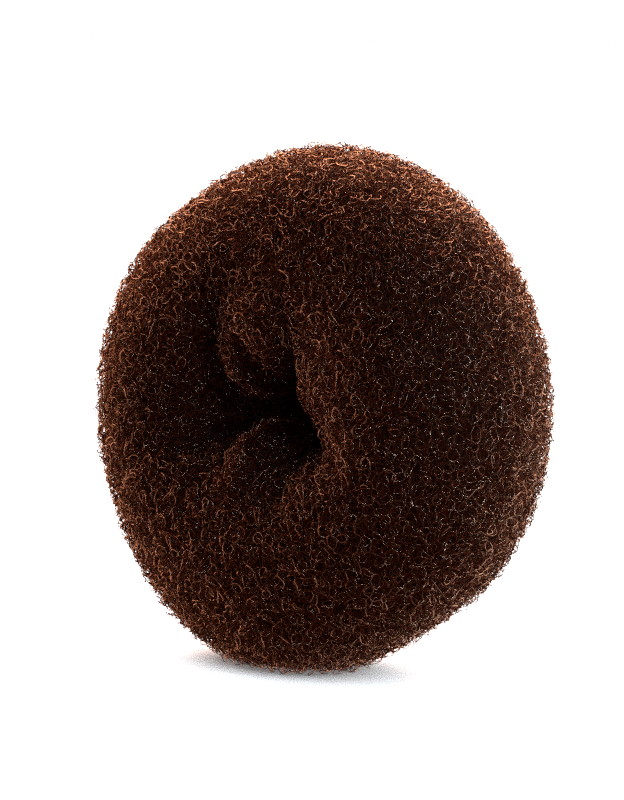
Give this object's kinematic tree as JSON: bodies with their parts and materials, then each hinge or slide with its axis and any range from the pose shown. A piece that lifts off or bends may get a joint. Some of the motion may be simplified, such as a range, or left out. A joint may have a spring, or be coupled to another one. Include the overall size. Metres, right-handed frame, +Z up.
{
  "type": "hair donut bun maker",
  "caption": "Soft ring of brown knitted nylon mesh rolled up on itself, with a creased, drawn-in hole through its middle that hair is pulled through to shape a bun.",
  "frame": {"origin": "middle of the ring's box in X and Y, on the floor that its squashed rim stands on", "axes": "+Z up; the ring's own axis runs along Y and leans back by a few degrees, with the front face towards -Y and the ring's right side towards +X"},
  "size_m": [0.085, 0.0432, 0.0838],
  "materials": {
    "knitted_nylon_mesh": "open springy knit of fine brown nylon strands, slightly glossy"
  },
  "bodies": {
    "root": {"mesh_ring": "knitted_nylon_mesh"}
  },
  "joints": []
}
